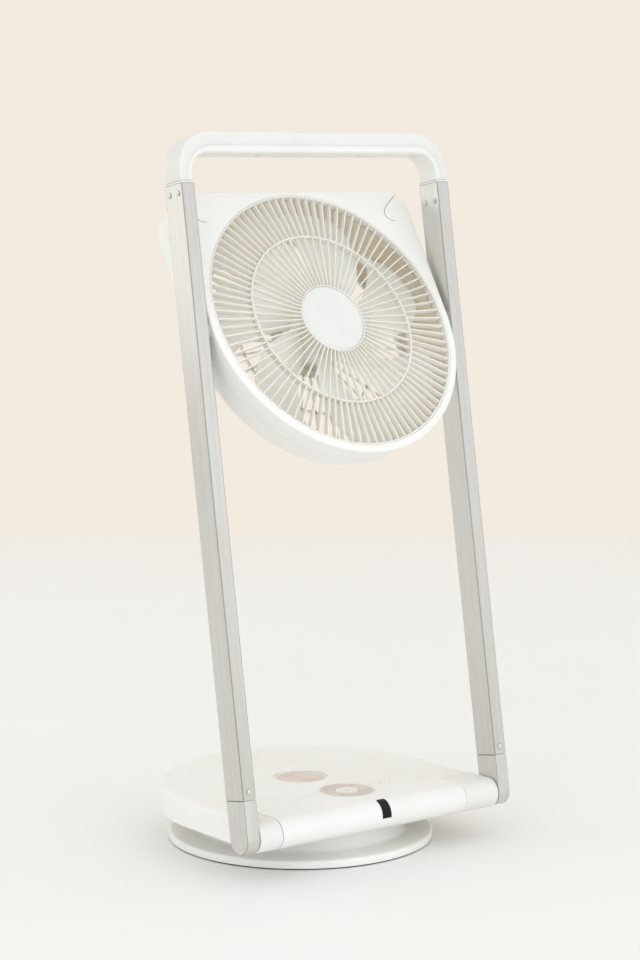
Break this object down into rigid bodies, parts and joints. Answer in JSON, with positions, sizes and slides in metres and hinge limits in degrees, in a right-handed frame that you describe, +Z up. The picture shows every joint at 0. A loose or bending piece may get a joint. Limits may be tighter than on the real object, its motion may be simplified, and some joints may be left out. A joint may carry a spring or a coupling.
{
  "type": "foldable fan",
  "caption": "Foldable fan: a tilting grille head between two leaning rails with a carry handle, hinged on a control base that swivels on a round turntable.",
  "frame": {"origin": "on the floor, on the axis that the base swivels about, which is the middle of the foot ring's underside", "axes": "+Z up, -Y the way the fan blows, +X to the right of someone who faces the grille; the rails lean back towards +Y"},
  "size_m": [0.362, 0.299, 0.78],
  "materials": {
    "warm_white_plastic": "satin moulded housing",
    "fan_plastic": "satin moulded blades",
    "champagne_aluminium": "brushed along its length and anodised pale champagne",
    "rose_silver": "satin rose silver",
    "bright_steel": "plain",
    "dark_rubber": "plain",
    "dark_window": "gloss",
    "circuit_board": "solder mask",
    "bearing_plastic": "plain"
  },
  "bodies": {
    "stand": {"turntable_plate": "warm_white_plastic", "foot_ring": "dark_rubber", "bottom_cover": "warm_white_plastic", "ballast_plate": "bright_steel", "slide_ring": "bearing_plastic", "swivel_gear": "bearing_plastic", "hub_nut": "bright_steel"},
    "base": {"base_cover": "warm_white_plastic", "base_pan": "warm_white_plastic", "end_cap_left": "warm_white_plastic", "end_cap_right": "warm_white_plastic", "receiver_window": "dark_window", "dock_floor": "rose_silver", "button_surround": "warm_white_plastic", "control_board": "circuit_board", "power_board": "circuit_board", "power_inlet": "dark_window", "swivel_motor": "bright_steel", "hinge_bracket_left": "bright_steel", "hinge_bracket_right": "bright_steel", "hinge_bush_left": "bearing_plastic", "hinge_bush_right": "bearing_plastic"},
    "drive_pinion": {"swivel_pinion": "bearing_plastic"},
    "touch_ring": {"control_ring": "rose_silver"},
    "button": {"power_button": "rose_silver"},
    "folding_frame": {"hinge_arm_left": "champagne_aluminium", "hinge_arm_right": "champagne_aluminium", "hinge_shaft_left": "bright_steel", "hinge_shaft_right": "bright_steel", "hinge_nut_left": "bright_steel", "hinge_nut_right": "bright_steel", "arm_screw_left": "bright_steel", "arm_screw_right": "bright_steel", "rail_left": "champagne_aluminium", "rail_right": "champagne_aluminium", "handle_shell": "warm_white_plastic", "handle_grip": "warm_white_plastic", "handle_collar_left": "warm_white_plastic", "handle_collar_right": "warm_white_plastic", "rail_screw_left_front": "bright_steel", "rail_screw_left_rear": "bright_steel", "rail_screw_right_front": "bright_steel", "rail_screw_right_rear": "bright_steel", "grip_screw_outer_left": "bright_steel", "grip_screw_left": "bright_steel", "grip_screw_right": "bright_steel", "grip_screw_outer_right": "bright_steel", "pivot_pin_left": "bright_steel", "pivot_pin_right": "bright_steel"},
    "head": {"head_front_shell": "warm_white_plastic", "head_rear_shell": "warm_white_plastic", "front_grille": "warm_white_plastic", "centre_cap": "warm_white_plastic", "rear_grille": "warm_white_plastic", "fan_motor": "bright_steel", "pivot_boss_left": "warm_white_plastic", "pivot_boss_right": "warm_white_plastic"},
    "fan_rotor": {"fan_blade": "fan_plastic", "rotor_shaft": "bright_steel", "blade_nut": "warm_white_plastic"}
  },
  "joints": [
    {"name": "swivel", "type": "hinge", "parent": "stand", "child": "base", "pos_m": [0, 0, 0.036], "axis": [0, 0, 1], "range_deg": [-40, 40]},
    {"name": "pinion_spin", "type": "hinge", "parent": "base", "child": "drive_pinion", "pos_m": [0, 0.0326, 0.042], "axis": [0, 0, 1], "range_deg": [-161, 161]},
    {"name": "ring_press", "type": "slide", "parent": "base", "child": "touch_ring", "axis": [0, 0, -1], "range_m": [0, 0.0008], "stiffness_N_per_m": 1500, "springref_m": -0.0008},
    {"name": "button_press", "type": "slide", "parent": "base", "child": "button", "axis": [0, 0, -1], "range_m": [0, 0.001], "stiffness_N_per_m": 800, "springref_m": -0.001},
    {"name": "fold", "type": "hinge", "parent": "base", "child": "folding_frame", "pos_m": [0, -0.133, 0.051], "axis": [-1, 0, 0], "range_deg": [0, 80.5]},
    {"name": "head_tilt", "type": "hinge", "parent": "folding_frame", "child": "head", "pos_m": [0, -0.04559, 0.57334], "axis": [-1, 0, 0], "range_deg": [-41, 59]},
    {"name": "blade_spin", "type": "hinge", "parent": "head", "child": "fan_rotor", "pos_m": [0, -0.04559, 0.57334], "axis": [0, -0.8572, 0.515], "continuous": true}
  ],
  "couplings": [
    {"joint": "pinion_spin", "follows": "swivel", "ratio": 4}
  ]
}
